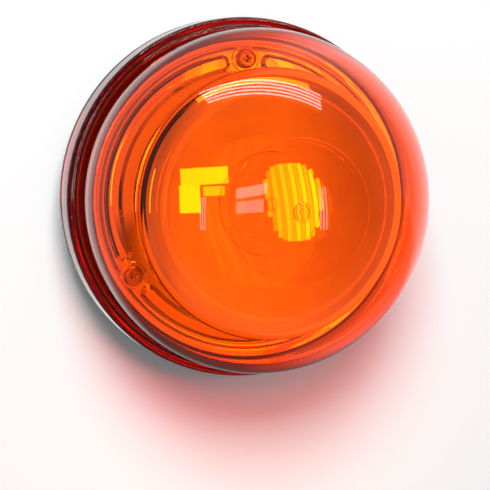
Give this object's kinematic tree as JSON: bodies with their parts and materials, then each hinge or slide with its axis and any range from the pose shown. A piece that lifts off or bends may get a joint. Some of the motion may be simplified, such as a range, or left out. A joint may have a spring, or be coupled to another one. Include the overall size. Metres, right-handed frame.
{
  "type": "warning beacon",
  "caption": "Round amber LED warning beacon: screw-on domed lens over a mirror cap and reflector ring, on a black base with threaded fixing inserts and a central cable inlet.",
  "frame": {"origin": "centre of the mounting face", "axes": "+Z is the axis of the beacon, from the mounting face to the crown of the lens; +Y passes through one of the three reflector-ring screws"},
  "size_m": [0.14, 0.14, 0.1141],
  "materials": {
    "housing_plastic": "black moulded plastic",
    "seal_rubber": "black sealing rubber",
    "brass": "turned brass",
    "breather_plastic": "dark grey moulded plastic",
    "board_laminate": "green solder resist",
    "terminal_plastic": "green moulded plastic",
    "screw_steel": "zinc-plated steel",
    "component_plastic": "black component moulding",
    "can_aluminium": "drawn aluminium can",
    "plate_aluminium": "turned aluminium plate",
    "pad_rubber": "soft grey heat-conducting pad",
    "led_board_laminate": "white solder resist",
    "led_ceramic": "white ceramic",
    "led_silicone": "yellow phosphor under clear silicone",
    "metallised_plastic": "vacuum-metallised plastic",
    "amber_lens": "clear amber polycarbonate, polished"
  },
  "bodies": {
    "base": {"base_housing": "housing_plastic", "mounting_gasket": "seal_rubber", "mounting_inserts": "brass", "cable_grommet": "seal_rubber", "breather_plug": "breather_plastic", "driver_board": "board_laminate", "terminal_block": "terminal_plastic", "terminal_screws": "screw_steel", "power_inductor": "component_plastic", "capacitors": "can_aluminium", "control_chips": "component_plastic", "power_diodes": "component_plastic", "board_standoffs": "brass", "heat_spreader": "plate_aluminium", "spreader_screws": "screw_steel", "thermal_pad": "pad_rubber", "led_board": "led_board_laminate", "led_board_screws": "screw_steel", "led_bodies": "led_ceramic", "led_domes": "led_silicone", "link_header": "component_plastic", "reflector_cone": "metallised_plastic", "cone_screw": "screw_steel", "mirror_cap": "metallised_plastic", "reflector_ring": "metallised_plastic", "ring_screws": "screw_steel"},
    "seal": {"lens_seal": "seal_rubber"},
    "lens": {"lens_dome": "amber_lens"}
  },
  "joints": [
    {"name": "lens_lift", "type": "slide", "parent": "base", "child": "seal", "axis": [0, 0, 1], "range_m": [0, 0.08]},
    {"name": "lens_turn", "type": "hinge", "parent": "seal", "child": "lens", "pos_m": [0, 0, 0.03], "axis": [0, 0, 1], "range_deg": [0, 270]}
  ]
}
